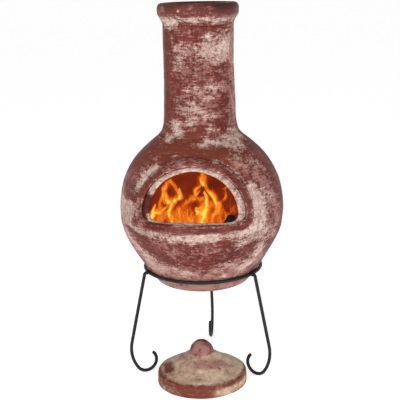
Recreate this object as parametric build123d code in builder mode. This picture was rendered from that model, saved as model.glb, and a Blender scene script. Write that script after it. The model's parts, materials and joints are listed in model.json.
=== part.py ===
"""Clay chiminea on a three-legged wire stand, with its lid set down on the floor in front.

Millimetres. The origin is on the floor under the pot's axis, +Z is up and the mouth faces -Y.
"""
import os
from math import cos, radians, sin

from build123d import *

# Pot
total_height = 1100
base_z = 273.5
base_flat_radius = 121
foot_corner_radius = 28
ring_seat = (166.8, 312)
belly_radius = 244.7
belly_z = 497
neck_root = (117.4, 725)
bowl_wall = 18
floor_radius = 118
flue_radius = 87

# Neck and collar
collar_z = 1038
neck_top_radius = 102.2
collar_radius = 117.4
collar_land_z = (1074, 1086)
rim_edge_radius = 3

# Mouth, as seen from the front: half width, rise of the arch above its spring line, and sill
front = (0, -1, 0)
spring_z = 530
opening = {"half_width": 125, "rise": 117, "sill_z": 511, "corner": 18}
surround_inner = {"half_width": 147, "rise": 131, "sill_z": 510, "corner": 20}
surround_outer = {"half_width": 166, "rise": 154, "sill_z": 484.5, "corner": 36}
surround_height = 9.5

# Wire stand
rod_radius = 5
ring_radius = 176
ring_z = 317.4
ring_gap_angle = 1.0
ring_gap_azimuth = 55
ring_weld_angle = 3.5
ring_weld_radius = 6.2
ring_weld_shift = 1.4
leg_azimuths = {"left_leg": 210, "right_leg": 330, "rear_leg": 90}
leg_splay = 13
leg_shoulder_rho = 189
leg_shoulder_bend = 7
leg_sweep_radius = 105
leg_foot_radius = 32
leg_sweep_turn = 50.5
leg_foot_turn = 190
stub_bite = 0.5
weld_radius = 6.5
weld_seam_angle = 150

# Lid
lid_centre = (7, -137)
lid_radius = 132.6
lid_band_height = 30
lid_socket_radius = 120
lid_socket_depth = 26
lid_wall = 14
knob_z = 85
knob_root_radius = 42
knob_top_z = 125.5

# Sand and fuel: each log has its two ends and its radius
sand_top_z = 415
fuel_gap = 0.4
logs = {
    "log_1": ((-125, -38, 435.4), (118, -52, 435.4), 20),
    "log_2": ((-112, 46, 435.4), (128, 34, 435.4), 20),
    "log_3": ((-48, -92, 473.2), (22, 112, 473.2), 17),
    "log_4": ((70, -100, 437), (104, -163, 507), 15),
}
bark_flat = 0.45
coal_size = (26, 22, 20)
coal_chamfer = 5
coal_pitch = 36
coal_layers = ((-85, -160, 5), (-100, -140, 4), (-100, -120, 3))

os.makedirs("parts", exist_ok=True)


def save(part, name):
    """Label one piece and write it as its own STEP file."""
    part.label = name
    export_step(part, f"parts/{name}.step")


def mouth_arch(half_width, rise, sill_z, corner):
    """Half-ellipse on short upright jambs, with rounded corners at a flat sill."""
    with BuildSketch(Plane.XZ) as arch:
        with BuildLine():
            crown = EllipticalCenterArc((0, spring_z), half_width, rise, start_angle=0, arc_size=180)
            Polyline(crown @ 1, (-half_width, sill_z), (half_width, sill_z), crown @ 0)
        make_face()
        fillet(arch.vertices().group_by(Axis.Y)[0], corner)
    return arch.sketch


# Half section of the bowl, closed down the axis: flat base, foot, cone, belly and shoulder
with BuildSketch(Plane.XZ) as bowl_half:
    with BuildLine() as bowl_line:
        flat = Line((0, base_z), (base_flat_radius, base_z))
        foot = JernArc(flat @ 1, (1, 0), foot_corner_radius, 90)
        seat = Line(foot @ 1, ring_seat)
        belly = Spline(
            seat @ 1,
            (180.5, 336.5),
            (209.5, 385),
            (235.5, 440),
            (belly_radius, belly_z),
            (237.9, 560),
            (202.2, 645),
            (149.1, 700),
            neck_root,
        )
        Polyline(belly @ 1, (0, neck_root[1]), flat @ 0)
    make_face()


def beside_belly(distance, first, last):
    """Points a set distance outside the belly line, or inside it where negative, from bottom to top."""
    points = []
    for tenth in range(first, last + 1):
        along = belly % (tenth / 10)
        points.append(belly @ (tenth / 10) + Vector(along.Y, -along.X) * distance)
    return points


# Half section of the fire chamber, one wall inside the bowl
with BuildSketch(Plane.XZ) as hollow_half:
    with BuildLine():
        inside = Spline(*beside_belly(-bowl_wall, 0, 10))
        floor_z = base_z + bowl_wall
        Polyline(inside @ 1, (0, (inside @ 1).Y), (0, floor_z), (floor_radius, floor_z), inside @ 0)
    make_face()

# Half section one moulding height outside the belly, which the mouth surround is cut from
with BuildSketch(Plane.XZ) as swollen_half:
    with BuildLine():
        raised = Spline(*beside_belly(surround_height, 2, 9))
        Polyline(raised @ 1, (0, (raised @ 1).Y), (0, (raised @ 0).Y), raised @ 0)
    make_face()

with BuildPart() as fire_bowl:
    add(bowl_half.sketch)
    revolve(axis=Axis.Z)
    revolve(hollow_half.sketch, axis=Axis.Z, mode=Mode.SUBTRACT)
    with BuildSketch(Plane.XY.offset(neck_root[1])):
        Circle(flue_radius)
    extrude(amount=-2 * bowl_wall, mode=Mode.SUBTRACT)
    extrude(mouth_arch(**opening), amount=total_height, dir=front, mode=Mode.SUBTRACT)
save(fire_bowl.part, "fire_bowl")

# Raised moulding luted on round the mouth
with BuildPart() as mouth_surround:
    extrude(mouth_arch(**surround_outer), amount=total_height, dir=front)
    extrude(mouth_arch(**surround_inner), amount=total_height, dir=front, mode=Mode.SUBTRACT)
    revolve(swollen_half.sketch, axis=Axis.Z, mode=Mode.INTERSECT)
    revolve(bowl_half.sketch, axis=Axis.Z, mode=Mode.SUBTRACT)
save(mouth_surround.part, "mouth_surround")

# Chimney neck
with BuildPart() as flue_neck:
    with BuildSketch(Plane.XZ):
        with BuildLine():
            side = Spline(neck_root, (110.4, 745), (105.8, 800), (102.4, 900), (neck_top_radius, collar_z))
            Polyline(side @ 1, (flue_radius, collar_z), (flue_radius, neck_root[1]), side @ 0)
        make_face()
    revolve(axis=Axis.Z)
save(flue_neck.part, "flue_neck")

# Rolled collar, with a true cylindrical land where the lid drops over it
with BuildPart() as rim_collar:
    with BuildSketch(Plane.XZ) as collar_section:
        with BuildLine():
            flare = Spline(
                (neck_top_radius, collar_z),
                (108.5, 1055),
                (115.3, 1066),
                (collar_radius, collar_land_z[0]),
                tangents=[(0.1, 1), (0, 1)],
            )
            land = Line(flare @ 1, (collar_radius, collar_land_z[1]))
            crown = JernArc(land @ 1, (0, 1), total_height - collar_land_z[1], 90)
            Polyline(crown @ 1, (flue_radius, total_height), (flue_radius, collar_z), flare @ 0)
        make_face()
        mouth_edge = collar_section.vertices().group_by(Axis.Y)[-1].sort_by(Axis.X)[0]
        fillet(mouth_edge, rim_edge_radius)
    revolve(axis=Axis.Z)
save(rim_collar.part, "rim_collar")

# Stand ring, one bar bent round and butt welded
with BuildPart() as stand_ring:
    ring_start = Plane.XZ.rotated((0, 0, ring_gap_azimuth + ring_gap_angle / 2))
    with BuildSketch(ring_start):
        with Locations((ring_radius, ring_z)):
            Circle(rod_radius)
    revolve(axis=Axis.Z, revolution_arc=360 - ring_gap_angle)
save(stand_ring.part, "stand_ring")


def heading(degrees_out):
    """Downward direction in a leg's plane, leaning out from the pot by an angle."""
    return Vector(sin(radians(degrees_out)), -cos(radians(degrees_out)))


# One leg bent flat, with X outward from the pot's axis and Y up: a stub butted to the outside
# of the ring, a splayed run, a sweep back under the pot and a foot curled up at its tip
ring_outside = ring_radius + rod_radius
foot_heading = leg_splay - leg_sweep_turn
sweep_drop = leg_sweep_radius * (sin(radians(leg_splay)) - sin(radians(foot_heading)))
foot_drop = leg_foot_radius * (1 + sin(radians(foot_heading)))
run_drop = ring_z - (rod_radius + foot_drop + sweep_drop)
with BuildPart() as bent_leg:
    with BuildLine() as spine:
        stub = Vector(ring_outside - stub_bite, ring_z)
        shoulder = Vector(leg_shoulder_rho, ring_z)
        knee = shoulder + heading(leg_splay) * (run_drop / cos(radians(leg_splay)))
        FilletPolyline(stub, shoulder, knee, radius=leg_shoulder_bend)
        under = JernArc(knee, heading(leg_splay), leg_sweep_radius, -leg_sweep_turn)
        JernArc(under @ 1, heading(foot_heading), leg_foot_radius, -leg_foot_turn)
    with BuildSketch(Plane(origin=spine.line @ 0, z_dir=spine.line % 0)):
        Circle(rod_radius)
    sweep(path=spine.line)

legs = {}
for leg_name, azimuth in leg_azimuths.items():
    outward = Vector(cos(radians(azimuth)), sin(radians(azimuth)))
    sideways = Vector(sin(radians(azimuth)), -cos(radians(azimuth)))
    with BuildPart() as leg:
        with Locations(Plane(origin=(0, 0, 0), x_dir=outward, z_dir=sideways)):
            add(bent_leg.part)
        add(stand_ring.part, mode=Mode.SUBTRACT)
    legs[leg_name] = leg.part
    save(leg.part, leg_name)

# Weld bead round each leg's stub, where it meets the ring. The ball's seam is turned to lie
# clear of both bars
with BuildPart() as leg_welds:
    for azimuth in leg_azimuths.values():
        weld_x = ring_outside * cos(radians(azimuth))
        weld_y = ring_outside * sin(radians(azimuth))
        with Locations((weld_x, weld_y, ring_z)):
            Sphere(weld_radius, rotation=(0, 0, azimuth + weld_seam_angle))
    add(stand_ring.part, mode=Mode.SUBTRACT)
    for leg in legs.values():
        add(leg, mode=Mode.SUBTRACT)
save(leg_welds.part, "leg_welds")

# Butt weld closing the ring, built up on its outside and dressed flush on the inside
with BuildPart() as ring_weld:
    weld_start = Plane.XZ.rotated((0, 0, ring_gap_azimuth + ring_weld_angle / 2))
    with BuildSketch(weld_start):
        with Locations((ring_radius + ring_weld_shift, ring_z)):
            Circle(ring_weld_radius)
    revolve(axis=Axis.Z, revolution_arc=-ring_weld_angle)
    add(stand_ring.part, mode=Mode.SUBTRACT)
save(ring_weld.part, "ring_weld")

# Lid: a skirt that drops over the collar and a domed top
lid_axis = Axis((*lid_centre, 0), (0, 0, 1))
lid_plane = Plane(origin=lid_axis.position, x_dir=(1, 0, 0), z_dir=front)
with BuildPart() as lid_cap:
    with BuildSketch(lid_plane):
        with BuildLine():
            band = Line((lid_radius, 0), (lid_radius - 1, lid_band_height))
            dome = Spline(
                band @ 1,
                (120, 40),
                (98, 48),
                (79, 61),
                (60, 74),
                (knob_root_radius, knob_z),
                tangents=[(-0.3, 1), (-1, 0.45)],
            )
            Polyline(dome @ 1, (0, knob_z), (0, knob_z - lid_wall))
            vault = Spline((0, knob_z - lid_wall), (40, 64), (70, 48), (92, 35))
            socket = (lid_socket_radius, lid_socket_depth)
            Polyline(vault @ 1, socket, (lid_socket_radius, 0), band @ 0)
        make_face()
    revolve(axis=lid_axis)
save(lid_cap.part, "lid_cap")

# Round-topped knob of the lid, flared at its foot
with BuildPart() as lid_knob:
    with BuildSketch(lid_plane):
        with BuildLine():
            root = Line((0, knob_z), (knob_root_radius, knob_z))
            flare = ThreePointArc(root @ 1, (37.5, 91), (34, 98))
            crown = Spline(
                flare @ 1,
                (30.5, 108),
                (21.5, 118),
                (0, knob_top_z),
                tangents=[(-0.1, 1), (-1, 0)],
            )
            Line(crown @ 1, root @ 0)
        make_face()
    revolve(axis=lid_axis)
save(lid_knob.part, "lid_knob")

# Sand in the bottom of the bowl, which keeps the fire off the clay
with BuildPart() as sand_bed:
    revolve(hollow_half.sketch, axis=Axis.Z)
    split(bisect_by=Plane.XY.offset(sand_top_z), keep=Keep.BOTTOM)
save(sand_bed.part, "sand_bed")

# Split logs, each with one flat side
for log_name, (tail, tip, radius) in logs.items():
    axis = Vector(tip) - Vector(tail)
    with BuildPart() as log:
        with BuildSketch(Plane(origin=tail, x_dir=axis.cross(Vector(0, 0, 1)), z_dir=axis)):
            Circle(radius)
            with Locations((0, radius * (1 + bark_flat))):
                Rectangle(2 * radius, 2 * radius, mode=Mode.SUBTRACT)
        extrude(amount=axis.length)
    save(log.part, log_name)

# Heap of charcoal between the logs and the mouth, in layers that step back
with BuildPart() as charcoal:
    for layer, (first_x, layer_y, count) in enumerate(coal_layers):
        coal_z = sand_top_z + fuel_gap + coal_size[2] / 2 + layer * (coal_size[2] + fuel_gap)
        for column in range(count):
            place = (first_x + column * coal_pitch, layer_y, coal_z)
            with Locations(Location(place, (0, 0, 37 * column + 53 * layer))):
                Box(*coal_size)
    chamfer(charcoal.edges(), coal_chamfer)
save(charcoal.part, "charcoal")
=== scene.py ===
"""Looks of a clay chiminea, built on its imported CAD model. Metres, Z up, the mouth faces -Y.

A bearing is an angle in degrees round the axis of the pot or lid: 0 towards -Y, growing towards +X.
Strokes of paint and wear are written in degrees and millimetres.
"""
import json
from math import cos, hypot, pi, radians, sin
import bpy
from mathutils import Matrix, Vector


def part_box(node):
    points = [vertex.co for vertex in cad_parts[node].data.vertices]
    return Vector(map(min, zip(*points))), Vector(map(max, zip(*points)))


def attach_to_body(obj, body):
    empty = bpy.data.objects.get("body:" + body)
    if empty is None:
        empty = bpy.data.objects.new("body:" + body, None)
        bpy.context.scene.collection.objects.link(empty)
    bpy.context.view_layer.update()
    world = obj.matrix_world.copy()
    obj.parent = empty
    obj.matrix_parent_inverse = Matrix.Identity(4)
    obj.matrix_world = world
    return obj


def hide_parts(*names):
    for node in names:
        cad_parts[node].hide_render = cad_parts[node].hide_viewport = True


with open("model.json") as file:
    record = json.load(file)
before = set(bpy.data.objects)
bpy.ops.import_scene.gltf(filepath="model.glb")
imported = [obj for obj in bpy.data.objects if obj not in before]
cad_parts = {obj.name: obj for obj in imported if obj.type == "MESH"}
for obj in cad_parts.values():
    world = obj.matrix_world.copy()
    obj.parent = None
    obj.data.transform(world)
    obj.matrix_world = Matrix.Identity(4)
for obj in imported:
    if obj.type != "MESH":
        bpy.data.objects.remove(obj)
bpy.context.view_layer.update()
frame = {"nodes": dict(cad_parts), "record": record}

from types import SimpleNamespace

import bmesh
import bpy
import numpy as np
from mathutils import Euler, Vector

MM = 0.001
FAR = 9.0  # metres, farther off than anything that is measured
NOISE_SIDE = 32  # cells before the noise repeats
nodes = frame["nodes"]


# -------- fields and outlines

def noise(points, size, seed):
    """Smooth random field from -1 to 1, whose lumps are about size metres across."""
    lattice = np.random.default_rng(seed).uniform(-1, 1, [NOISE_SIDE] * 3)
    spots = points / size
    cell = np.floor(spots).astype(int)
    part = spots - cell
    part = part * part * (3 - 2 * part)
    total = np.zeros(len(points))
    for corner in np.ndindex(2, 2, 2):
        weight = np.prod(np.where(corner, part, 1 - part), axis=1)
        i, j, k = ((cell + corner) % NOISE_SIDE).T
        total += weight * lattice[i, j, k]
    return total


def ease(value, low, high):
    """0 below low, 1 above high, and a smooth rise between."""
    t = np.clip((value - low) / (high - low), 0, 1)
    return t * t * (3 - 2 * t)


SECTION_ANGLE = radians(90.7)  # of the half plane that sections are cut on, from +X and a little off +Y


def half_section(node, centre=(0.0, 0.0)):
    """A turned node's outline behind its axis, as (radius, height) points, up the outside first."""
    out = Vector((cos(SECTION_ANGLE), sin(SECTION_ANGLE), 0))
    axis = Vector((*centre, 0))
    work = bmesh.new()
    work.from_mesh(nodes[node].data)
    everything = work.verts[:] + work.edges[:] + work.faces[:]
    cut = bmesh.ops.bisect_plane(work, geom=everything, plane_co=axis, plane_no=out.cross(Vector((0, 0, 1))))
    links = {}
    for edge in cut["geom_cut"]:
        if not isinstance(edge, bmesh.types.BMEdge):
            continue
        ends = [((v.co - axis).dot(out), v.co.z) for v in edge.verts]
        ends.sort()
        (r0, z0), (r1, z1) = ends
        if r1 <= 0:
            continue
        if r0 < 0:
            z0 = z0 + (z1 - z0) * (-r0) / (r1 - r0)
            r0 = 0.0
        a = (round(r0, 6), round(z0, 6))
        b = (round(r1, 6), round(z1, 6))
        if a != b:
            links.setdefault(a, set()).add(b)
            links.setdefault(b, set()).add(a)
    work.free()
    loose = sorted(p for p in links if len(links[p]) == 1)
    point = loose[0] if loose else min(links)
    line = [point]
    seen = {point}
    while True:
        ahead = [p for p in sorted(links[point]) if p not in seen]
        if not ahead:
            break
        point = ahead[0]
        seen.add(point)
        if hypot(point[0] - line[-1][0], point[1] - line[-1][1]) > 0.1 * MM:
            line.append(point)
    line = np.array(line)
    r, z = line.T
    if np.sum(r * np.roll(z, -1) - np.roll(r, -1) * z) < 0:
        line = line[::-1]
    return line


def spaced(line, step, closed):
    """Points about step apart along a line, keeping its corners."""
    points = []
    ends = np.roll(line, -1, axis=0) if closed else line[1:]
    for start, end in zip(line, ends):
        count = max(1, round(float(np.hypot(*(end - start))) / step))
        points += [start + (end - start) * k / count for k in range(count)]
    if not closed:
        points.append(line[-1])
    return np.array(points)


def softened(line, rounds, keep, closed):
    """A line with its corners worn round, apart from the points that keep marks."""
    line = line.copy()
    for _ in range(rounds):
        middle = (np.roll(line, 1, axis=0) + np.roll(line, -1, axis=0) + 2 * line) / 4
        free = ~keep
        if not closed:
            free = free.copy()
            free[[0, -1]] = False
        line[free] = middle[free]
    return line


def beside(points, a, b):
    """Where each point's foot lies on the way from a to b, from 0 to 1, and how far the point is from it."""
    run = b - a
    t = np.clip((points - a) @ run / max(run @ run, 1e-12), 0, 1)
    return t, np.linalg.norm(points - a - t[:, None] * run, axis=1)


def grid_over(points, margin, step):
    """A flat grid of points that covers these ones and a margin: its two scales and its points."""
    low = points.min(axis=0) - margin
    high = points.max(axis=0) + margin
    across = np.arange(low[0], high[0], step)
    up = np.arange(low[1], high[1], step)
    return across, up, np.stack(np.meshgrid(across, up, indexing="ij"), axis=-1).reshape(-1, 2)


def distance_map(outline, step=MM):
    """A lookup of how far points of a plane lie outside a closed outline, negative inside it."""
    across, up, grid = grid_over(outline, 40 * MM, step)
    nearest = np.full(len(grid), FAR)
    inside = np.zeros(len(grid), bool)
    for a, b in zip(outline, np.roll(outline, -1, axis=0)):
        nearest = np.minimum(nearest, beside(grid, a, b)[1])
        if a[1] != b[1]:
            crossing = a[0] + (grid[:, 1] - a[1]) * (b[0] - a[0]) / (b[1] - a[1])
            spans = (a[1] > grid[:, 1]) != (b[1] > grid[:, 1])
            inside ^= spans & (grid[:, 0] < crossing)
    table = np.where(inside, -nearest, nearest).reshape(len(across), len(up))

    def look_up(first, second):
        i = np.clip((first - across[0]) / step, 0, len(across) - 1.001)
        j = np.clip((second - up[0]) / step, 0, len(up) - 1.001)
        i0, j0 = i.astype(int), j.astype(int)
        u, v = i - i0, j - j0
        return (
            table[i0, j0] * (1 - u) * (1 - v) + table[i0 + 1, j0] * u * (1 - v)
            + table[i0, j0 + 1] * (1 - u) * v + table[i0 + 1, j0 + 1] * u * v
        )

    return look_up


def both(a, b, soft):
    """Distance to what two shapes share, with the edge between them rounded."""
    h = np.clip(0.5 + 0.5 * (a - b) / soft, 0, 1)
    return b + (a - b) * h + soft * h * (1 - h)


def joined(a, b, soft):
    """Distance to two shapes together, with the corner between them filled."""
    return -both(-a, -b, soft)


# -------- the pot's own shape

MOUNTS = {mount["name"]: mount for mount in frame["record"]["mounts"]}
MOUTH_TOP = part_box("mouth_surround")[1].z
MOUTH_HALF_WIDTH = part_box("mouth_surround")[1].x
MOUTH_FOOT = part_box("mouth_surround")[0].z
SPRING = MOUTH_FOOT + 45.5 * MM  # where the jambs end and the arch starts
ARCH_RISE = MOUTH_TOP - SPRING
MOULDING_WIDTH = 19 * MM  # of the band at the jambs
MOULDING_RISE = 23 * MM  # of the band at the top of the arch
MOULDING_SILL = 25.5 * MM  # of the band at its foot
MOULDING_HEIGHT = 9.5 * MM  # how far it stands out of the belly
LOW_RUN_HALF_WIDTH = MOUTH_HALF_WIDTH - 30 * MM  # of the moulding's straight run under the mouth
LIP_WIDTH = 22 * MM  # of the clay between the moulding and the hole, at the jambs
LIP_RISE = 14 * MM  # and at the top of the arch
NECK_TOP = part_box("flue_neck")[1].z
NECK_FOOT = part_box("flue_neck")[0].z
NECK_FILLET = 13 * MM
FLUE_RADIUS = MOUNTS["flue_bore"]["dims"]["r_mm"] * MM
CLEAR_OF_FLUE = FLUE_RADIUS + 8 * MM  # the middle of the neck's wall
SEAT_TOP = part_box("stand_ring")[1].z
LID_CENTRE = MOUNTS["lid_socket"]["pos_m"][:2]


def arch(half_width, rise, foot, corner):
    """The mouth's outline from the front: half an ellipse on short jambs, with round corners at its foot."""
    points = []
    for t in np.linspace(0, pi, 61):
        points.append((half_width * cos(t), SPRING + rise * sin(t)))
    for side, first in ((-1, pi), (1, 1.5 * pi)):
        for t in np.linspace(first, first + pi / 2, 9):
            points.append((side * (half_width - corner) + corner * cos(t), foot + corner + corner * sin(t)))
    return np.array(points)


# The moulding's two edges and the hole, each given by its half width, rise, foot and corner radius
moulding_outside = distance_map(arch(MOUTH_HALF_WIDTH, ARCH_RISE, MOUTH_FOOT, 36 * MM))
moulding_inside = distance_map(arch(
    MOUTH_HALF_WIDTH - MOULDING_WIDTH, ARCH_RISE - MOULDING_RISE, MOUTH_FOOT + MOULDING_SILL, 20 * MM))
hole = distance_map(arch(
    MOUTH_HALF_WIDTH - MOULDING_WIDTH - LIP_WIDTH, ARCH_RISE - MOULDING_RISE - LIP_RISE,
    MOUTH_FOOT + MOULDING_SILL + MM, 18 * MM))
bowl_section = half_section("fire_bowl")
bowl_wall = distance_map(bowl_section)
neck_section = half_section("flue_neck")
neck_wall = distance_map(neck_section)
collar_section = half_section("rim_collar")
lid_section = half_section("lid_cap", LID_CENTRE)
knob_section = half_section("lid_knob", LID_CENTRE)


def lumps(points):
    """How far hand-formed clay stands proud of the turned shape, in metres."""
    dents = 1.3 * noise(points, 0.085, 1) + 0.6 * noise(points, 0.034, 2) + 0.22 * noise(points, 0.012, 3)
    lines = 0.3 * noise(points * [0.15, 0.15, 1], 0.011, 4)
    free_of_stand = ease(points[:, 2], SEAT_TOP + 0.004, SEAT_TOP + 0.05)
    free_of_lid = 1 - 0.6 * ease(points[:, 2], NECK_TOP - 0.02, NECK_TOP + 0.03)
    return (dents + lines) * free_of_stand * free_of_lid * MM


def bowl_shape(points):
    """Distance outside the fire bowl's clay, with its mouth cut by hand."""
    x, y, z = points.T
    r = np.hypot(x, y)
    wall = bowl_wall(r, z)
    filled = np.maximum(joined(wall, neck_wall(r, z), NECK_FILLET), z - NECK_FOOT)
    wall = np.where(r > CLEAR_OF_FLUE, filled, wall)
    opening = -hole(x, z) + 1.2 * MM * noise(points, 0.03, 5)
    opening = np.where(y < 0, opening, -1.0)
    return both(wall, opening, 9 * MM) - lumps(points)


def neck_fillet(r, z):
    """How far the neck's foot is built out to run smoothly into the shoulder."""
    swollen = -joined(bowl_wall(r, z), neck_wall(r, z), NECK_FILLET)
    return np.where(r > CLEAR_OF_FLUE, np.clip(swollen, 0, None), 0)


def near(distance, width):
    """1 on a line, falling to 0 about two widths away from it."""
    return np.exp(-(distance / width) ** 2)


def moulding_shape(points):
    """Distance outside the moulding, sunk into the belly, with a bevel and a groove along its foot."""
    x, y, z = points.T
    above = bowl_wall(np.hypot(x, y), z)
    wander = 0.9 * MM * noise(points, 0.04, 6) + 0.5 * MM * noise(points, 0.015, 7)
    band = both(moulding_outside(x, z), -moulding_inside(x, z), 2 * MM) + wander
    bevel = ease(z, MOUTH_FOOT + 17 * MM, MOUTH_FOOT + MOULDING_SILL) * (moulding_inside(x, z) > -0.02)
    low_run = (z < MOUTH_FOOT + MOULDING_SILL + 4 * MM) * (np.abs(x) < LOW_RUN_HALF_WIDTH)
    groove = near(z - MOUTH_FOOT - 15 * MM, 2.6 * MM)
    height = MOULDING_HEIGHT - (5.5 * MM * bevel + 2.4 * MM * groove) * low_run + 0.5 * wander
    face = both(above - height, band, 8 * MM)
    return np.maximum(face, -above - 3 * MM) - lumps(points)


# -------- mesh building

def placed(name, data):
    """A scene object for a mesh, lamp or camera."""
    thing = bpy.data.objects.new(name, data)
    bpy.context.scene.collection.objects.link(thing)
    return thing


def smoothed(mesh):
    """A mesh, shaded smooth."""
    mesh.polygons.foreach_set("use_smooth", np.ones(len(mesh.polygons), bool))
    return mesh


def mesh_of(name, work):
    """A mesh made of what a bmesh holds, which is then freed."""
    mesh = bpy.data.meshes.new(name)
    work.to_mesh(mesh)
    work.free()
    return mesh


def vectors(rows, name):
    """One vector of each row of a mesh, as an array."""
    flat = np.empty(len(rows) * 3)
    rows.foreach_get(name, flat)
    return flat.reshape(-1, 3)


def coordinates(mesh):
    """Where a mesh's vertices are."""
    return vectors(mesh.vertices, "co")


def move_to(mesh, points):
    """Puts a mesh's vertices at these points."""
    mesh.vertices.foreach_set("co", np.ascontiguousarray(points).ravel())
    mesh.update()


def evenly_netted(name, node, cell):
    """A copy of a CAD node's shape as an even net of small quads."""
    draft = placed(name, nodes[node].data.copy())
    net = draft.modifiers.new("Net", "REMESH")
    net.mode = "VOXEL"
    net.voxel_size = cell
    evaluated = draft.evaluated_get(bpy.context.evaluated_depsgraph_get())
    mesh = bpy.data.meshes.new_from_object(evaluated)
    bpy.data.objects.remove(draft)
    mesh.materials.clear()
    return placed(name, smoothed(mesh))


def pulled_onto(piece, shape, rounds=5):
    """Moves each vertex onto the surface where shape is zero, by no more than 2 mm a round."""
    points = coordinates(piece.data)
    probe = 0.4 * MM
    for _ in range(rounds):
        here = shape(points)
        slope = np.stack([(shape(points + step) - here) / probe for step in np.eye(3) * probe], axis=1)
        steep = np.maximum(np.sum(slope * slope, axis=1), 0.25)
        shift = -(here / steep)[:, None] * slope
        length = np.linalg.norm(shift, axis=1, keepdims=True)
        points += shift * np.minimum(1, 2 * MM / np.maximum(length, 1e-9))
    move_to(piece.data, points)
    return piece


def turned(name, line, closed, turns, centre=(0.0, 0.0)):
    """A solid turned from a half section. An open line starts and ends on the axis."""
    work = bmesh.new()
    rings = []
    for r, z in line:
        if r < 1e-6:
            rings.append([work.verts.new((*centre, z))])
            continue
        ring = []
        for k in range(turns):
            t = 2 * pi * k / turns
            ring.append(work.verts.new((centre[0] + r * cos(t), centre[1] + r * sin(t), z)))
        rings.append(ring)
    pairs = list(zip(rings, rings[1:]))
    if closed:
        pairs.append((rings[-1], rings[0]))
    for lower, upper in pairs:
        for k in range(turns):
            after = (k + 1) % turns
            if len(lower) == 1:
                work.faces.new((lower[0], upper[after], upper[k]))
            elif len(upper) == 1:
                work.faces.new((lower[k], lower[after], upper[0]))
            else:
                work.faces.new((lower[k], lower[after], upper[after], upper[k]))
    bmesh.ops.recalc_face_normals(work, faces=work.faces)
    return placed(name, smoothed(mesh_of(name, work)))


def stand_proud(piece, field):
    """Pushes each vertex out along its normal by a field of its place."""
    points = coordinates(piece.data)
    outward = vectors(piece.data.vertex_normals, "vector")
    move_to(piece.data, points + outward * field(points)[:, None])
    return piece


def held(line, height, reach=6 * MM):
    """Marks the points of a line that lie about the height where it meets its neighbour."""
    return np.abs(line[:, 1] - height) < reach


def make_bowl():
    """The fire bowl, with its mouth and the flue's opening cut through it."""
    return pulled_onto(evenly_netted("clay_fire_bowl", "fire_bowl", 4.7 * MM), bowl_shape)


def make_moulding():
    """The raised band round the mouth."""
    return pulled_onto(evenly_netted("clay_mouth_moulding", "mouth_surround", 2.2 * MM), moulding_shape, 8)


def make_neck():
    """The neck, whose foot is filled out into the bowl's shoulder."""
    line = spaced(neck_section, 3.5 * MM, True)
    line[:, 0] += neck_fillet(*line.T)
    return stand_proud(turned("clay_neck", line, True, 200), lumps)


def make_collar():
    """The rolled collar. Its foot keeps the shape that meets the neck."""
    line = spaced(collar_section, 2.5 * MM, True)
    line = softened(line, 2, held(line, NECK_TOP), True)
    return stand_proud(turned("clay_collar", line, True, 220), lumps)


def lid_lumps(points):
    """How far the lid's clay stands proud of its turned shape. Its rim lies flat on the floor."""
    dents = 1.1 * noise(points, 0.05, 11) + 0.5 * noise(points, 0.02, 12) + 0.2 * noise(points, 0.008, 13)
    return dents * ease(points[:, 2], 0.001, 0.012) * MM


def make_lid():
    """The skirt and dome, hollow underneath. The top keeps the shape that meets the knob."""
    line = spaced(lid_section, 2.5 * MM, False)
    line = softened(line, 3, held(line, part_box("lid_cap")[1].z, 2 * MM), False)
    return stand_proud(turned("clay_lid", line, False, 220, LID_CENTRE), lid_lumps)


def make_knob():
    """The knob. Its foot keeps the shape that meets the dome."""
    line = spaced(knob_section, 2.2 * MM, False)
    line = softened(line, 2, held(line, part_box("lid_knob")[0].z, 2 * MM), False)
    return stand_proud(turned("clay_lid_knob", line, False, 120, LID_CENTRE), lid_lumps)


# -------- wear, painted shade and painted highlights, as strokes over the clay

def outer_radius(sections):
    """A lookup of the widest radius at a height."""
    points = np.concatenate([spaced(s, MM, closed) for s, closed in sections])
    heights = np.arange(points[:, 1].min(), points[:, 1].max() + MM, 2 * MM)
    widest = [points[np.abs(points[:, 1] - h) <= 2 * MM, 0].max() for h in heights]
    return lambda z: np.interp(z, heights, widest)


pot_radius = outer_radius([(bowl_section, False), (neck_section, True), (collar_section, True)])
lid_radius = outer_radius([(lid_section, False), (knob_section, False)])
CHANNELS = ("cream", "pink", "brown", "soot", "bare")


def round_at(height):
    """A stroke's path all the way round, at a height in mm."""
    return [(bearing, height) for bearing in range(-180, 181, 15)]


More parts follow.
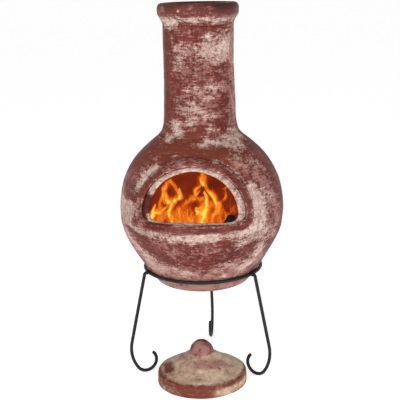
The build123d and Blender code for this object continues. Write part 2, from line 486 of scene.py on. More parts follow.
# Each stroke: strength, half width in mm, then (bearing, height in mm) along it.
# Bare is where nothing is rubbed back to cream, whatever the cream strokes say.
POT_WEAR_AND_PAINTED_LIGHT = {"cream": [
    (0.72, 11, round_at(1055)),
    (0.6, 9, [(-58, 1036), (-46, 1034), (-30, 1038)]),
    (0.85, 10, [(-52, 1056), (-34, 1054)]),
    (0.6, 7, [(-4, 1057), (22, 1056)]),
    (0.6, 8, [(-53, 1086), (-49, 1084)]),
    (0.95, 3.5, [(-21, 1081), (-20, 1080)]),
    (0.9, 3, [(73, 1081), (74, 1080)]),
    (0.5, 18, [(-31, 973), (-22, 954), (-32, 925)]),
    (0.3, 18, [(-22, 975), (-4, 962)]),
    (0.9, 21, [(20, 976), (36, 972), (54, 980)]),
    (0.55, 14, [(20, 1008), (62, 1004)]),
    (0.55, 16, [(16, 955), (38, 943), (54, 952)]),
    (0.45, 12, [(-12, 868), (2, 868)]),
    (0.62, 11, [(22, 866), (40, 866)]),
    (0.3, 18, [(-30, 830), (0, 836), (30, 850)]),
    (0.5, 13, [(-20, 806), (-5, 806), (8, 802)]),
    (0.5, 11, [(-3, 822), (3, 812)]),
    (0.6, 9, [(-10, 784), (2, 781)]),
    (0.55, 9, [(15, 786), (25, 786)]),
    (0.5, 7, [(-38, 768), (-5, 765)]),
    (0.6, 8, [(18, 749), (33, 748)]),
    (0.6, 14, [(-40, 765), (-28, 745)]),
    (0.7, 12, [(-48, 727), (-38, 722)]),
    (0.6, 9, [(-30, 738), (-22, 737)]),
    (0.8, 11, [(15, 722), (30, 712), (45, 705), (60, 700)]),
    (0.75, 17, [(42, 722), (58, 715), (75, 722)]),
    (0.6, 12, [(56, 748), (70, 742)]),
    (0.95, 8, [(8, 713), (13, 711)]),
    (0.4, 22, [(40, 680), (60, 655)]),
    (0.97, 13, [(-46, 598), (-40, 625), (-34, 652)]),
    (0.2, 16, [(-46, 640), (-37, 672)]),
    (1.0, 23, [(-78, 532), (-64, 527), (-50, 527)]),
    (0.9, 17, [(-66, 540), (-52, 520)]),
    (0.75, 11, [(-74, 500), (-60, 494), (-48, 481), (-38, 474), (-30, 472)]),
    (0.7, 9, [(-30, 473), (-10, 471), (5, 474), (20, 475), (36, 478)]),
    (0.85, 11, [(-3, 468), (8, 467), (17, 470)]),
    (0.8, 13, [(26, 472), (38, 476), (45, 490)]),
    (1.0, 22, [(45, 592), (48, 560), (50, 530), (49, 505), (44, 488)]),
    (0.95, 20, [(46, 560), (48, 515), (46, 492)]),
    (0.5, 14, [(57, 575), (61, 545)]),
    (0.6, 26, [(-62, 450), (-52, 420), (-45, 390), (-38, 355)]),
    (0.45, 24, [(-40, 372), (-22, 356), (-6, 348)]),
    (0.78, 25, [(54, 432), (53, 390), (44, 360)]),
    (0.25, 20, [(66, 560), (72, 500), (64, 450)]),
    (0.45, 16, [(30, 380), (20, 360)]),
    (0.6, 10, [(33, 442), (48, 458), (60, 477)]),
    (0.45, 8, [(-22, 457), (0, 459)]),
    (0.9, 6, [(25, 337), (28, 333)]),
], "pink": [
    # painted highlight along the front of the collar's roll
    (0.6, 8, [(-4, 1089), (10, 1090), (26, 1089)]),
    (0.35, 50, [(-12, 1000), (0, 900), (10, 800)]),
    (0.3, 40, [(40, 940), (40, 820)]),
    (0.7, 20, [(76, 1030), (74, 900), (72, 780)]),
    (0.6, 30, [(62, 580), (68, 520), (66, 470)]),
    (0.5, 30, [(-70, 600), (-72, 520), (-66, 450)]),
    (0.7, 34, [(-64, 440), (-50, 390), (-40, 350)]),
    (0.75, 34, [(-40, 345), (0, 335), (30, 342), (60, 365)]),
    (0.35, 30, [(-22, 440), (0, 430), (28, 440)]),
    (0.9, 18, round_at(292)),
    (0.2, 34, [(-50, 600), (-38, 650)]),
    (0.45, 30, [(40, 660), (56, 620)]),
], "brown": [
    (0.9, 36, [(-38, 692), (-12, 702), (14, 692), (38, 660)]),
    (0.9, 11, [(14, 298), (26, 296), (40, 298)]),
    (0.4, 12, [(-32, 1084), (-12, 1084)]),
    (0.6, 24, [(-52, 640), (-40, 672)]),
    # a darker strip down the neck's left side
    (0.5, 30, [(-66, 1000), (-62, 900), (-60, 800)]),
], "soot": [
    (0.85, 2.4, [(-28, 1062), (-23, 1056), (-19, 1056), (-12, 1049)]),
    (0.5, 2, [(-12, 1049), (-2, 1047), (8, 1048)]),
    (0.36, 14, [(b, 1088) for b in (-90, -60, -20, 20, 60, 100, 180)]),
    # a darker strip down the neck's left side
    (0.55, 17, [(-57, 1020), (-56, 900), (-55, 790)]),
    (0.55, 12, [(34, 1088), (60, 1088), (95, 1088)]),
    (0.3, 12, [(-90, 1088), (-60, 1087), (-30, 1088)]),
    (0.5, 9, [(-8, 452), (-5, 440), (-6, 428)]),
    (0.4, 24, [(-72, 640), (-64, 690)]),
    (0.45, 20, [(-78, 596), (-60, 588), (-52, 584)]),
    (0.25, 10, [(45, 1095), (62, 1094)]),
], "bare": [
    # keeps cream off the darker strip down the neck's left side
    (0.9, 20, [(-58, 1000), (-57, 900), (-56, 790)]),
    (0.85, 19, [(-76, 596), (-60, 588), (-53, 584)]),
]}
MOULDING_WEAR = {"pink": [
    (0.5, 26, [(-20, 640), (0, 650), (24, 640)]),
    (0.8, 20, [(-40, 560), (-40, 500)]),
]}
LID_WEAR_AND_PAINTED_SHADE = {"cream": [
    (0.8, 24, round_at(64)),
    (0.9, 13, round_at(83)),
    (0.88, 14, round_at(49)),
    (0.8, 11, round_at(43)),
    (0.5, 13, [(-64, 12), (-40, 12), (-24, 10)]),
    (0.5, 15, [(18, 12), (40, 14), (75, 15)]),
    (0.8, 12, [(32, 15), (44, 15), (80, 17)]),
    (0.45, 14, [(110, 14), (150, 16), (200, 14)]),
], "pink": [
    (0.85, 24, [(-20, 114), (10, 112)]),
    (0.9, 18, [(2, 76), (34, 72), (66, 66)]),
    # painted shade on the dome's upper left slope, with the soot and bare strokes on the same path
    (0.6, 20, [(-110, 74), (-60, 84)]),
    (0.6, 16, [(92, 60), (120, 56)]),
    (0.7, 16, [(-66, 66), (-38, 58), (-14, 52)]),
    (0.6, 12, [(100, 70), (150, 60)]),
], "brown": [
    # a painted shade line round the skirt, under the dome's edge
    (0.8, 11, round_at(28)),
    # painted shade along the lid's left shoulder
    (1.0, 12, [(-90, 47), (-62, 48)]),
    (0.9, 16, [(-24, 15), (0, 14), (14, 15)]),
], "soot": [
    (0.35, 12, [(-30, 76), (-14, 66), (-4, 54)]),
    # painted shade on the dome's upper left slope
    (0.4, 12, [(-110, 72), (-66, 80)]),
    # painted shade on the dome's right slope
    (0.4, 11, [(80, 52), (110, 52), (150, 52)]),
    (0.3, 5, [(-40, 50), (-14, 47), (6, 48)]),
    # painted shade on the lid's upper left
    (0.65, 12, [(-85, 112), (-55, 106)]),
    (0.25, 7, [(-20, 44), (14, 44)]),
], "bare": [
    # keeps cream off the painted shade line under the dome's edge
    (0.35, 8, round_at(29)),
    # keeps cream off the painted shade on the left shoulder
    (1.0, 12, [(-90, 47), (-62, 48)]),
    (0.55, 14, [(-14, 16), (0, 15), (10, 16)]),
    (0.72, 15, [(2, 76), (34, 72), (66, 66)]),
    # keeps cream off the painted shade on the dome's upper left slope
    (0.4, 12, [(-100, 72), (-62, 82)]),
    (0.9, 17, [(-20, 116), (160, 116)]),
]}


def stroke_line(path, radius_at, centre):
    """The points in space that a stroke follows over the clay."""
    line = []
    for bearing, height in path:
        r = float(radius_at(height * MM))
        turn = radians(bearing)
        line.append((centre[0] + r * sin(turn), centre[1] - r * cos(turn), height * MM))
    return np.array(line)


def stroked(points, strokes, radius_at, centre):
    """How much of each point the strokes cover together. Each fades past its half width."""
    missed = np.ones(len(points))
    for strength, half_width, path in strokes:
        line = stroke_line(path, radius_at, centre)
        nearest = np.full(len(points), FAR)
        for a, b in zip(line, line[1:]):
            nearest = np.minimum(nearest, beside(points, a, b)[1])
        missed *= 1 - strength * np.exp(-0.7 * (nearest / (half_width * MM)) ** 2)
    return 1 - missed


def scattered_wear(seed, count, bearings, heights):
    """Strokes at random, for the back and sides that the photograph doesn't show."""
    rng = np.random.default_rng(seed)
    wear = {"cream": [], "pink": []}
    for _ in range(count):
        bearing = rng.uniform(*bearings)
        height = rng.uniform(*heights)
        length = rng.uniform(4, 22)
        rise = rng.normal(0, 14)
        along = ((0, 0), (length / 2, rise), (length, rise / 3))
        path = [(bearing + db, height + dh) for db, dh in along]
        beneath = [(b + 6, h - 20) for b, h in path]
        wear["cream"].append((rng.uniform(0.45, 1.0), rng.uniform(3, 20), path))
        wear["pink"].append((rng.uniform(0.3, 0.8), rng.uniform(15, 40), beneath))
    return wear


BACK_WEAR = scattered_wear(21, 46, (88, 262), (345, 1020))
LEDGE_TOP = MOUTH_FOOT + 45 * MM  # just over the mouth's sill
FRONT = -0.1  # the y that everything round the mouth lies in front of


def around_mouth(points):
    """Wear on the belly that follows the mouth's outline: its pale lip and sooty jamb, and painted shade in
    its creases.
    """
    x, y, z = points.T
    front = y < FRONT
    lip = ease(-moulding_inside(x, z), -2 * MM, 3 * MM) * front
    left_jamb = ease(-x, 0.02, 0.09) * (1 - ease(z, MOUTH_FOOT + 0.09, MOUTH_FOOT + 0.115))
    right_jamb = ease(x, 0.05, 0.11)
    sill = 0.95 * near(hole(x, z), 8 * MM) * (z < LEDGE_TOP) * front
    rub = near(moulding_outside(x, z) - 3 * MM, 4 * MM) * ease(x, 0.03, 0.1) * front
    # painted shade in the creases inside and outside the moulding
    inner_crease_shade = 0.45 * near(moulding_inside(x, z), 5 * MM) * ease(hole(x, z), 3 * MM, 8 * MM)
    outer_crease_shade = 0.3 * near(moulding_outside(x, z), 5 * MM)
    crease_shade = np.maximum(inner_crease_shade, outer_crease_shade) * front
    return {
        "cream": np.maximum(lip * (0.86 - 0.14 * right_jamb - 0.75 * left_jamb), sill) + 0.6 * rub,
        "soot": 0.55 * lip * left_jamb * (1 - sill) + crease_shade * (1 - 0.5 * left_jamb),
    }


def on_moulding(points):
    """Wear on the moulding: its edges rub pale, the ridge line along its low run is pale, partly rubbed and
    partly a painted highlight, and its right side is sooty.
    """
    x, _, z = points.T
    up = z - MOUTH_FOOT
    low_run = np.abs(x) < LOW_RUN_HALF_WIDTH
    under = low_run * (up < 30 * MM)
    left_foot = ease(-x, 0.08, 0.13) * (1 - ease(up, 0.07, 0.12))
    right_side = ease(x, 0.08, 0.13)
    outer_edge = near(moulding_outside(x, z) + 1.5 * MM, 3.5 * MM) * (0.3 + 0.1 * right_side)
    inner_edge = 0.4 * near(moulding_inside(x, z) - 2.5 * MM, 3 * MM)
    # a pale line along the low run's ridge: rubbed wear and a painted highlight
    ridge_wear_and_highlight = 0.45 * near(up - 19 * MM, 2 * MM) * low_run
    ledge = 0.5 * ease(up, 22 * MM, 25 * MM) * under
    rubbed = np.max([outer_edge, inner_edge, ridge_wear_and_highlight, ledge], axis=0)
    return {
        "cream": rubbed * (1 - 0.3 * left_foot),
        "soot": 0.12 * left_foot + np.maximum(0.32 * right_side, 0.28 * under),
    }


def paint_wear_and_painted_light(piece, wear, radius_at, centre=(0.0, 0.0), skin=25 * MM, extra=None, smoked=0.0):
    """Writes the strokes to the mesh: red is cream, green pink, blue brown and alpha soot. Some of them are
    painted shade and painted highlights.

    They reach only a skin's depth. Extra gives more of them by place, and smoked is the soot deeper in.
    """
    points = coordinates(piece.data)
    channel = {name: stroked(points, wear.get(name, []), radius_at, centre) for name in CHANNELS}
    for name, values in (extra(points) if extra else {}).items():
        channel[name] = np.maximum(channel[name], values)
    channel["cream"] = channel["cream"] * (1 - channel["bare"])
    depth = radius_at(points[:, 2]) - np.hypot(points[:, 0] - centre[0], points[:, 1] - centre[1])
    outside = 1 - ease(depth, 0.35 * skin, skin)
    table = np.stack([channel[name] for name in CHANNELS[:4]], axis=1) * outside[:, None]
    table[:, 3] += smoked * (1 - outside)
    layer = piece.data.color_attributes.new("wear", "FLOAT_COLOR", "POINT")
    layer.data.foreach_set("color", np.clip(table, 0, 1).astype(np.float32).ravel())


def write_value(piece, name, values):
    """Writes one number for each vertex."""
    layer = piece.data.attributes.new(name, "FLOAT", "POINT")
    layer.data.foreach_set("value", np.asarray(values, np.float32))


# -------- materials

def rgb(*levels):
    """A linear colour from its red, green and blue on the sRGB scale of 0 to 255."""
    shares = [level / 255 for level in levels]
    return (*(s / 12.92 if s <= 0.04045 else ((s + 0.055) / 1.055) ** 2.4 for s in shares), 1)


class Paint:
    """A node material being built up, one named step at a time."""

    def __init__(self, name):
        self.material = bpy.data.materials.new(name)
        self.material.use_nodes = True
        self.tree = self.material.node_tree
        self.tree.nodes.clear()
        self.place = self.add("ShaderNodeTexCoord").outputs["Object"]

    def add(self, kind, inputs=None, **settings):
        """One node, with its settings made and its inputs linked or filled in."""
        node = self.tree.nodes.new(kind)
        for name, value in settings.items():
            setattr(node, name, value)
        for key, value in (inputs or {}).items():
            if isinstance(value, bpy.types.NodeSocket):
                self.tree.links.new(value, node.inputs[key])
            else:
                node.inputs[key].default_value = value
        return node

    def stretched(self, x, y, z):
        """The place on the object, with its axes scaled."""
        inputs = {0: self.place, 1: (x, y, z)}
        return self.add("ShaderNodeVectorMath", inputs, operation="MULTIPLY").outputs[0]

    def noise(self, scale, detail=4, rough=0.6, place=None, warp=0.0):
        """Random mottling: scale is in lumps to the metre."""
        inputs = {"Vector": place or self.place, "Scale": scale, "Detail": detail}
        inputs.update({"Roughness": rough, "Distortion": warp})
        return self.add("ShaderNodeTexNoise", inputs).outputs[0]

    def cells(self, scale, feature="F1", place=None):
        """Distance inside random cells, or to their borders."""
        inputs = {"Vector": place or self.place, "Scale": scale}
        return self.add("ShaderNodeTexVoronoi", inputs, feature=feature).outputs["Distance"]

    def attribute(self, name):
        """What paint_wear_and_painted_light or write_value wrote on the mesh."""
        return self.add("ShaderNodeAttribute", attribute_name=name)

    def maths(self, operation, a, b=0.0):
        """One operation on two numbers or sockets."""
        return self.add("ShaderNodeMath", {0: a, 1: b}, operation=operation).outputs[0]

    def total(self, *terms):
        """A sum of sockets, each times its weight."""
        result = None
        for socket, weight in terms:
            scaled = self.maths("MULTIPLY", socket, weight)
            result = scaled if result is None else self.maths("ADD", result, scaled)
        return result

    def spread(self, *terms):
        """A sum of noises about zero, each times its weight."""
        return self.maths("SUBTRACT", self.total(*terms), sum(weight for _, weight in terms) / 2)

    def rise(self, value, low, high, first=0.0, last=1.0):
        """Smoothly from first, where value is low, to last, where it is high."""
        inputs = {0: value, 1: low, 2: high, 3: first, 4: last}
        return self.add("ShaderNodeMapRange", inputs, interpolation_type="SMOOTHSTEP").outputs[0]

    def mix(self, share, a, b):
        """Two colours, mixed by b's share. Inputs 6 and 7 are the node's colours."""
        return self.add("ShaderNodeMix", {0: share, 6: a, 7: b}, data_type="RGBA").outputs[2]

    def ramp(self, value, *stops):
        """Colours at places along a value."""
        node = self.add("ShaderNodeValToRGB", {0: value})
        band = node.color_ramp
        for place, _ in stops[2:]:
            band.elements.new(place)
        for element, (place, colour) in zip(band.elements, stops):
            element.position = place
            element.color = colour
        return node.outputs[0]

    def bump(self, height, depth):
        """Fine relief, depth metres deep where height is 1."""
        return self.add("ShaderNodeBump", {"Height": height, "Distance": depth, "Strength": 1.0}).outputs[0]

    def finish(self, **inputs):
        """The Principled shader and the output."""
        named = {key.replace("_", " "): value for key, value in inputs.items()}
        shader = self.add("ShaderNodeBsdfPrincipled", named)
        self.add("ShaderNodeOutputMaterial", {"Surface": shader.outputs[0]})
        return self.material


MAROON_DARK = rgb(78, 29, 24)
MAROON = rgb(106, 44, 36)
MAROON_PALE = rgb(134, 70, 61)
BROWN = rgb(122, 60, 42)
# pink dust, and also the colour of painted highlights and painted shade
PINK_DUST_AND_PAINTED_LIGHT = rgb(178, 132, 123)
POT_CREAM = (rgb(148, 116, 105), rgb(196, 166, 154), rgb(222, 199, 186))
LID_CREAM = (rgb(156, 124, 104), rgb(203, 175, 150), rgb(230, 209, 182))
# soot, and also the colour of painted shade
SOOT_AND_PAINTED_SHADE = rgb(54, 27, 22)


def clay_fields(paint):
    """The worn places, painted shade and painted highlights, and the random fields that a clay's colours
    share.
    """
    wear = paint.attribute("wear")
    cream, pink, brown = paint.add("ShaderNodeSeparateColor", {0: wear.outputs["Color"]}).outputs
    return SimpleNamespace(
        cream=cream, pink=pink, brown=brown, soot=wear.outputs["Alpha"],
        cloud=paint.noise(9, 5, 0.6),
        torn=paint.noise(26, 9, 0.72, warp=0.5),
        dusting=paint.noise(44, 8, 0.7, warp=0.3),
        flake=paint.noise(120, 6, 0.72),
        brushed=paint.noise(1, 6, 0.72, place=paint.stretched(24, 24, 150), warp=0.8),
        grain=paint.noise(300, 4, 0.7))


def maroon_wash(paint, fields, dust, ragged):
    """Maroon, browned in places and veiled with pink dust. Some of the brown is painted shade, and some of
    the pink is painted highlight and painted shade.
    """
    maroon = paint.ramp(
        paint.total((fields.cloud, 0.45), (fields.flake, 0.35), (fields.brushed, 0.2)),
        (0.38, MAROON_DARK), (0.5, MAROON), (0.64, MAROON_PALE))
    browned = paint.mix(paint.maths("MULTIPLY", fields.brown, 0.9), maroon, BROWN)
    drifts = paint.spread(
        (fields.dusting, 2.6), (fields.brushed, 1.9 * ragged), (fields.flake, 1.3 * ragged),
        (fields.grain, 0.8 * ragged))
    pink_dust_and_painted_light = paint.maths("ADD", paint.total((fields.pink, 1.0), (fields.cream, 0.35)), drifts)
    return paint.mix(paint.rise(pink_dust_and_painted_light, 0.1 - dust, 1.0 - dust, 0.0, 0.82), browned, PINK_DUST_AND_PAINTED_LIGHT)


def cream_coat(paint, fields, tones, ragged):
    """Cream, in darker and paler clouds."""
    shade = paint.spread(
        (fields.cloud, 0.4), (fields.dusting, 0.5), (fields.flake, 0.5 * ragged),
        (fields.grain, 0.25 * ragged))
    return paint.ramp(paint.maths("ADD", shade, 0.5), (0.36, tones[0]), (0.5, tones[1]), (0.62, tones[2]))


def scratches(paint, fields):
    """Thin level scratches down to the cream, in places."""
    lines = paint.noise(1, 3, 0.6, place=paint.stretched(9, 9, 330), warp=0.6)
    in_places = paint.rise(fields.torn, 0.46, 0.62)
    return paint.maths("MULTIPLY", paint.rise(lines, 0.6, 0.72, 0.0, 0.75), in_places)


def soiled_and_shaded(paint, fields, clean, ragged):
    """A clean colour under dark pits, soot and painted shade."""
    pits = paint.rise(paint.noise(210, 5, 0.75), 0.59, 0.7, 0.0, 0.65 * ragged)
    pitted = paint.mix(pits, clean, MAROON_DARK)
    # soot, and the painted shade that the soot channel also carries
    grime_and_painted_shade = paint.maths("ADD", fields.soot, paint.spread((fields.torn, 0.8), (fields.flake, 1.2)))
    return paint.mix(paint.rise(grime_and_painted_shade, 0.25, 0.8, 0.0, 0.9), pitted, SOOT_AND_PAINTED_SHADE)


def burnt_with_painted_firelight(paint, fields, outer):
    """The colour of clay as burnt as its attribute says, and the painted firelight that it gives off as
    emission.
    """
    burnt = paint.ramp(fields.flake, (0.35, rgb(20, 12, 9)), (0.7, rgb(58, 34, 26)))
    # painted firelight on the inner wall, in darker and brighter reds
    light = paint.mix(paint.rise(fields.cloud, 0.3, 0.7), rgb(96, 28, 13), rgb(132, 44, 19))
    painted_firelight = paint.attribute("painted_firelight").outputs["Fac"]
    colour = paint.mix(paint.attribute("burnt").outputs["Fac"], outer, burnt)
    return colour, {"Emission_Color": light, "Emission_Strength": painted_firelight}


def clay(name, cream_tones=POT_CREAM, gloss=0.0, dust=0.0, ragged=1.0, inner=False):
    """Fired clay under a maroon wash, rubbed back to cream where the wear attribute says.

    Ragged is how broken the edges of the worn patches are, and dust how much pink lies everywhere.
    Inner clay is burnt too, and shows painted firelight.
    """
    paint = Paint(name)
    fields = clay_fields(paint)
    broken = paint.spread(
        (fields.torn, 1.1 * ragged), (fields.flake, 1.3 * ragged), (fields.brushed, 2.0 * ragged),
        (fields.grain, 0.7 * ragged))
    bared = paint.rise(paint.maths("ADD", fields.cream, broken), 0.2, 0.95)
    maroon = maroon_wash(paint, fields, dust, ragged)
    cream = cream_coat(paint, fields, cream_tones, ragged)
    worn = paint.mix(paint.maths("MAXIMUM", bared, scratches(paint, fields)), maroon, cream)
    colour = soiled_and_shaded(paint, fields, worn, ragged)
    light = {}
    if inner:
        colour, light = burnt_with_painted_firelight(paint, fields, colour)
    height = paint.total(
        (bared, -0.3), (fields.flake, 0.7), (fields.grain, 0.4), (fields.brushed, 0.4), (fields.cloud, 0.6))
    smear = paint.total((bared, 0.6), (fields.flake, 0.5))
    return paint.finish(
        Base_Color=colour, Roughness=paint.rise(smear, 0.1, 1.0, 0.52 - gloss, 0.82 - gloss / 2),
        Specular_IOR_Level=0.15 + 2 * gloss, Normal=paint.bump(height, 1.0 * MM), **light)


def stand_paint():
    """Satin black paint brushed over bent bar."""
    paint = Paint("satin_black_paint")
    drag = paint.noise(140, 6, 0.7)
    dust = paint.noise(22, 6, 0.65)
    fine = paint.noise(900, 3, 0.6)
    colour = paint.ramp(
        paint.total((dust, 0.6), (drag, 0.4)),
        (0.35, rgb(18, 18, 19)), (0.52, rgb(26, 26, 27)), (0.72, rgb(40, 38, 37)))
    height = paint.total((drag, 1.0), (fine, 0.3))
    rough = paint.rise(drag, 0.3, 0.7, 0.36, 0.58)
    return paint.finish(
        Base_Color=colour, Roughness=rough, Specular_IOR_Level=0.3, Normal=paint.bump(height, 0.35 * MM))


def charred(name, glow_strength):
    """Burnt wood: black scales, ash on their edges and embers in the cracks."""
    paint = Paint(name)
    drift = paint.add("ShaderNodeTexNoise", {"Vector": paint.place, "Scale": 40.0}).outputs[1]
    bent = paint.add("ShaderNodeVectorMath", {0: paint.place, 1: drift}, operation="ADD").outputs[0]
    crack = paint.cells(85, "DISTANCE_TO_EDGE", bent)
    flake = paint.noise(160, 6, 0.7)
    ash = paint.rise(paint.noise(38, 5, 0.65), 0.52, 0.68)
    coal = paint.ramp(flake, (0.3, rgb(16, 13, 12)), (0.7, rgb(52, 44, 40)))
    colour = paint.mix(paint.maths("MULTIPLY", ash, 0.55), coal, rgb(150, 142, 136))
    hot = paint.rise(crack, 0.0, 0.09, 1.0, 0.0)
    patchy = paint.maths("MULTIPLY", hot, paint.rise(paint.noise(24, 4, 0.6), 0.5, 0.66))
    ember = paint.mix(patchy, rgb(60, 10, 2), rgb(255, 130, 30))
    height = paint.total((paint.rise(crack, 0.0, 0.12), 1.0), (flake, 0.4))
    return paint.finish(
        Base_Color=colour, Roughness=0.9, Normal=paint.bump(height, 2.5 * MM),
        Emission_Color=ember, Emission_Strength=paint.maths("MULTIPLY", patchy, glow_strength))


def sand_finish():
    """Dry sand with ash and cinders over it."""
    paint = Paint("ashy_sand")
    grain = paint.noise(700, 3, 0.7)
    drift = paint.noise(20, 5, 0.6)
    cinder = paint.cells(160)
    colour = paint.ramp(grain, (0.35, rgb(112, 92, 72)), (0.65, rgb(190, 168, 140)))
    ashed = paint.mix(paint.rise(drift, 0.42, 0.62), colour, rgb(120, 114, 108))
    specked = paint.mix(paint.rise(cinder, 0.12, 0.2, 0.9, 0.0), ashed, rgb(30, 24, 22))
    height = paint.total((grain, 1.0), (drift, 2.0))
    return paint.finish(Base_Color=specked, Roughness=0.95, Normal=paint.bump(height, 1.5 * MM))


def flame_finish():
    """Fire: its colour and its thinness both come from the fierceness written on the mesh."""
    paint = Paint("flame")
    lick = paint.noise(1, 3, 0.5, place=paint.stretched(48, 48, 20), warp=1.2)
    wisp = paint.noise(1, 2, 0.5, place=paint.stretched(130, 130, 45), warp=0.8)
    heat = paint.maths(
        "ADD", paint.attribute("fierceness").outputs["Fac"], paint.spread((lick, 1.3), (wisp, 0.45)))
    colour = paint.ramp(
        heat, (0.15, rgb(150, 40, 10)), (0.38, rgb(206, 78, 16)), (0.62, rgb(236, 116, 30)),
        (0.82, rgb(250, 158, 46)), (0.97, rgb(255, 218, 84)))
    fire = paint.add("ShaderNodeEmission", {"Color": colour, "Strength": 1.05})
    clear = paint.add("ShaderNodeBsdfTransparent")
    share = paint.rise(heat, 0.12, 0.75, 0.0, 0.96)
    flame = paint.add("ShaderNodeMixShader", {0: share, 1: clear.outputs[0], 2: fire.outputs[0]})
    paint.add("ShaderNodeOutputMaterial", {"Surface": flame.outputs[0]})
    return paint.material


# -------- flames

# The sheets of fire, by their y in mm. Each flame: strength, then (x, z, half width) in mm from foot to tip.
FLAMES = {-165: [
    (1.0, [(20, 485, 17), (21, 505, 14), (26, 528, 11), (36, 548, 8), (35, 566, 5), (27, 582, 2.5)]),
    (1.0, [(1, 534, 4), (10, 528, 8), (22, 528, 9)]),
    (0.9, [(-132, 497, 5), (-124, 514, 9), (-114, 528, 7), (-98, 524, 7), (-82, 537, 3)]),
    (0.7, [(-115, 526, 4), (-113, 546, 2)]),
    (0.9, [(-66, 488, 7), (-71, 508, 7), (-74, 526, 3)]),
    (0.95, [(-69, 530, 5), (-67, 542, 6), (-66, 550, 2)]),
], -150: [
    (0.6, [(-108, 490, 10), (-106, 512, 7), (-104, 540, 5), (-99, 566, 4), (-91, 590, 5)]),
    (0.7, [
        (-91, 590, 5), (-80, 605, 7), (-70, 616, 4), (-66, 606, 5), (-59, 600, 5), (-52, 582, 5),
        (-46, 566, 5)]),
    (0.6, [(-91, 548, 3), (-95, 570, 2.5), (-88, 592, 3)]),
    (0.95, [(-88, 575, 5), (-79, 556, 9), (-63, 549, 10), (-48, 561, 8), (-45, 574, 4), (-45, 590, 1.5)]),
    (0.5, [(-88, 516, 10), (-60, 508, 12)]),
    (0.7, [(64, 520, 8), (61, 548, 8), (50, 570, 7), (36, 586, 5), (25, 602, 5)]),
    (0.8, [(25, 602, 6), (21, 614, 12), (24, 622, 9)]),
    (0.7, [(43, 580, 3), (60, 560, 3), (70, 539, 5)]),
    (0.75, [(15, 598, 2), (3, 588, 5), (4, 572, 5), (12, 582, 3)]),
    (0.5, [(70, 538, 4), (84, 566, 3), (87, 590, 3), (98, 613, 2)]),
    (0.45, [(78, 592, 1.5), (86, 594, 2)]),
    (0.6, [(-46, 632, 3), (-38, 635, 4), (-31, 634, 2)]),
    (0.7, [(-30, 488, 8), (-34, 505, 8), (-42, 520, 4)]),
    (0.6, [(44, 492, 10), (52, 512, 10), (66, 528, 6)]),
], -110: [
    (0.55, [(-126, 480, 22), (-100, 500, 18)]),
    (0.6, [(-60, 480, 30), (-50, 512, 14), (-36, 536, 8), (-12, 550, 8), (22, 548, 8), (40, 536, 10)]),
    (0.48, [(-40, 490, 26), (10, 505, 28), (50, 505, 22)]),
    (0.34, [(70, 488, 16), (90, 500, 12)]),
    (0.2, [(80, 512, 14), (112, 530, 12)]),
]}
FLAME_CELL = 2 * MM
FLAME_EDGE = 0.05  # the heat where a sheet ends
FLAME_BULGE = 9 * MM  # how far each face stands out where it is hottest
FLAME_SWAY = 9 * MM


def flame_heat(places, flames):
    """How hot each place of a sheet is, from 0 to 1: its flames together, each fading past its half width."""
    cold = np.ones(len(places))
    for strength, line in flames:
        line = np.array(line) * MM
        best = np.zeros(len(places))
        for a, b in zip(line, line[1:]):
            t, gap = beside(places, a[:2], b[:2])
            width = a[2] + (b[2] - a[2]) * t
            best = np.maximum(best, np.exp(-0.75 * (gap / width) ** 1.5))
        cold *= 1 - strength * best
    return 1 - cold


def flame_sheet(depth, flames):
    """One sheet of fire: a closed body as thick as it is hot, thinning to nothing at its edge."""
    spots = np.array([(x, z) for _, line in flames for x, z, _ in line]) * MM
    across, up, flat = grid_over(spots, 50 * MM, FLAME_CELL)
    solid = np.stack([flat[:, 0], np.full(len(flat), depth * MM), flat[:, 1]], axis=1)
    shift = np.stack([noise(solid, 0.019, 31), noise(solid, 0.026, 32)], axis=1) * 4 * MM
    heat = flame_heat(flat + shift, flames).reshape(len(across), len(up))
    bulge = FLAME_BULGE * np.sqrt(np.clip(heat - FLAME_EDGE, 0, None))
    sway = FLAME_SWAY * noise(solid, 0.06, 33).reshape(heat.shape)
    live = heat > FLAME_EDGE
    work = bmesh.new()
    corners = {}
    heats = []

    def corner(i, j, side):
        key = (i, j, side if live[i, j] else 0)
        if key not in corners:
            y = depth * MM + sway[i, j] + key[2] * bulge[i, j]
            corners[key] = work.verts.new((across[i], y, up[j]))
            heats.append(heat[i, j])
        return corners[key]

    touched = live[:-1, :-1] | live[1:, :-1] | live[:-1, 1:] | live[1:, 1:]
    for i, j in zip(*np.nonzero(touched)):
        for side in (-1, 1):
            face = [corner(i + di, j + dj, side) for di, dj in ((0, 0), (1, 0), (1, 1), (0, 1))]
            work.faces.new(face if side < 0 else face[::-1])
    piece = placed(f"flame_sheet_{-depth}", smoothed(mesh_of("flame", work)))
    write_value(piece, "fierceness", heats)
    return piece


# -------- putting it together

def attach(piece, material, body, slot, *stands_for):
    """Gives a piece its material and body, and hides the CAD nodes it stands for. Its slot is not used."""
    piece.data.materials.append(material)
    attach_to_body(piece, body)
    if stands_for:
        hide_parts(*stands_for)
    return piece


def burn_inside_with_painted_firelight(bowl):
    """Marks the bowl's inner wall as burnt, and gives it painted firelight near the fire. The mouth's sill
    stays clean.
    """
    x, y, z = coordinates(bowl.data).T
    sill = near(hole(x, z), 9 * MM) * (z < LEDGE_TOP) * (y < FRONT)
    inside = ease(pot_radius(z) - np.hypot(x, y) - 14 * MM * sill, 12 * MM, 18 * MM)
    write_value(bowl, "burnt", inside)
    # painted firelight, low on the inner wall and fading out above
    write_value(bowl, "painted_firelight", inside * (1 - ease(z, 0.60, 0.72)) * ease(z, 0.36, 0.46))


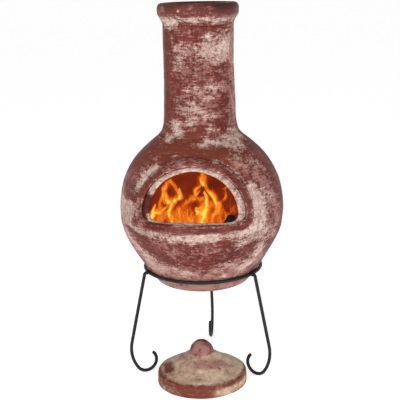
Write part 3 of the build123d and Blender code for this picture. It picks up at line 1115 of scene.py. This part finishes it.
def build_pot():
    """The bowl, neck, collar and moulding, each with its own skin of wear and painted light."""
    wear = {name: POT_WEAR_AND_PAINTED_LIGHT[name] + BACK_WEAR.get(name, []) for name in CHANNELS}
    plain = clay("worn_maroon_clay")
    bowl = make_bowl()
    paint_wear_and_painted_light(bowl, wear, pot_radius, skin=50 * MM, extra=around_mouth)
    burn_inside_with_painted_firelight(bowl)
    attach(bowl, clay("worn_maroon_clay_burnt_inside_painted_firelit", inner=True), "pot", "pot_clay", "fire_bowl")
    neck = make_neck()
    paint_wear_and_painted_light(neck, wear, pot_radius, skin=14 * MM, smoked=0.8)
    attach(neck, plain, "pot", "pot_clay", "flue_neck")
    collar = make_collar()
    paint_wear_and_painted_light(collar, wear, pot_radius, skin=28 * MM, smoked=0.7)
    attach(collar, clay("waxed_maroon_clay", gloss=0.05, dust=-0.3), "pot", "collar_clay", "rim_collar")
    moulding = make_moulding()
    paint_wear_and_painted_light(moulding, MOULDING_WEAR, pot_radius, extra=on_moulding)
    attach(moulding, clay("moulding_clay"), "pot", "mouth_clay", "mouth_surround")


def build_lid():
    """The lid and its knob."""
    finish = clay("cream_lid_clay", LID_CREAM, ragged=0.45)
    for make, node in ((make_lid, "lid_cap"), (make_knob, "lid_knob")):
        piece = make()
        paint_wear_and_painted_light(piece, LID_WEAR_AND_PAINTED_SHADE, lid_radius, LID_CENTRE, skin=20 * MM)
        attach(piece, finish, "lid", "lid_clay", node)


def crumbled(points):
    """How far burnt wood stands proud of its sawn shape, in metres."""
    return (2.2 * noise(points, 0.016, 41) + 1.2 * noise(points, 0.007, 42)) * MM


def build_fuel():
    """The burning logs, the charcoal and the sand under them."""
    wood = charred("charred_wood", 1.2)
    for number in (1, 2, 3, 4):
        log = evenly_netted(f"burnt_log_{number}", f"log_{number}", 2.5 * MM)
        stand_proud(log, crumbled)
        attach(log, wood, "pot", "charred_wood", f"log_{number}")
    coals = evenly_netted("charcoal_heap", "charcoal", 1.8 * MM)
    stand_proud(coals, lambda points: 0.6 * crumbled(points))
    attach(coals, charred("glowing_charcoal", 1.6), "pot", "glowing_coal", "charcoal")
    sand = evenly_netted("sand_fill", "sand_bed", 5 * MM)
    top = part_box("sand_bed")[1].z
    points = coordinates(sand.data)
    points[:, 2] -= ease(points[:, 2], top - 6 * MM, top) * (1 + noise(points, 0.03, 43)) * 2.5 * MM
    move_to(sand.data, points)
    attach(sand, sand_finish(), "pot", "sand", "sand_bed")


def build_fire():
    """The sheets of flame, which stand for no CAD node."""
    finish = flame_finish()
    for depth, flames in FLAMES.items():
        attach(flame_sheet(depth, flames), finish, "pot", "glowing_coal")


def build_stand():
    """Paints the stand's own CAD nodes, which are their own visual pieces."""
    finish = stand_paint()
    for name in frame["record"]["behaviour"]["bodies"]["stand"]:
        mesh = smoothed(nodes[name].data)
        mesh.materials.clear()
        mesh.materials.append(finish)


SKY_FADE = {"From Min": 0.17, "From Max": 0.3, "To Min": 1.0, "To Max": 0.34}  # strength by height


def light_the_sky():
    """Soft light from above, and a white backdrop behind the far edge of the floor."""
    world = bpy.data.worlds.new("soft_studio")
    bpy.context.scene.world = world
    world.use_nodes = True
    tree = world.node_tree
    place = tree.nodes.new("ShaderNodeTexCoord")
    split = tree.nodes.new("ShaderNodeSeparateXYZ")
    fade = tree.nodes.new("ShaderNodeMapRange")
    for socket, value in SKY_FADE.items():
        fade.inputs[socket].default_value = value
    tree.links.new(place.outputs["Generated"], split.inputs["Vector"])
    tree.links.new(split.outputs["Z"], fade.inputs["Value"])
    tree.links.new(fade.outputs["Result"], tree.nodes["Background"].inputs["Strength"])
    tree.nodes["Background"].inputs["Color"].default_value = (1, 1, 1, 1)


def lay_floor():
    """A wide white floor that shines a little, so that it stays white under the soft light."""
    work = bmesh.new()
    bmesh.ops.create_circle(work, cap_ends=True, segments=96, radius=60)
    floor = placed("studio_floor", mesh_of("floor", work))
    paint = Paint("white_floor")
    tone = paint.mix(paint.noise(3, 2), (0.93, 0.93, 0.93, 1), (0.95, 0.95, 0.95, 1))
    floor.data.materials.append(paint.finish(
        Base_Color=tone, Roughness=0.9, Emission_Color=(1, 1, 1, 1), Emission_Strength=0.62))


def hang_lamp(name, place, size, power):
    """A square soft light, aimed at the middle of the pot."""
    lamp = bpy.data.lights.new(name, "AREA")
    lamp.size = size
    lamp.energy = power
    light = placed(name, lamp)
    light.location = place
    light.rotation_euler = (Vector((0, 0, 0.55)) - Vector(place)).to_track_quat("-Z", "Y").to_euler()


CAMERA_PLACE = (0.3101, -2.6042, 1.1811)
CAMERA_TILT = radians(75.83)  # from straight down
CAMERA_TURN = radians(6.9)  # to the left of +Y
CAMERA_ROLL = radians(-1.22)


def set_camera():
    """The camera as fitted to the photograph."""
    lens = bpy.data.cameras.new("camera")
    lens.lens = 81
    lens.sensor_width = 36
    lens.clip_end = 200
    camera = placed("camera", lens)
    camera.location = CAMERA_PLACE
    aim = Euler((CAMERA_TILT, 0, CAMERA_TURN)).to_matrix() @ Euler((0, 0, CAMERA_ROLL)).to_matrix()
    camera.rotation_euler = aim.to_euler()
    bpy.context.scene.camera = camera


build_pot()
build_lid()
build_fuel()
build_fire()
build_stand()
lay_floor()
light_the_sky()
hang_lamp("key_light", (-0.9, -2.9, 2.4), size=1.6, power=41)
hang_lamp("fill_light", (1.9, -2.5, 1.3), size=1.5, power=21)
set_camera()
bpy.context.scene.view_settings.view_transform = "Standard"
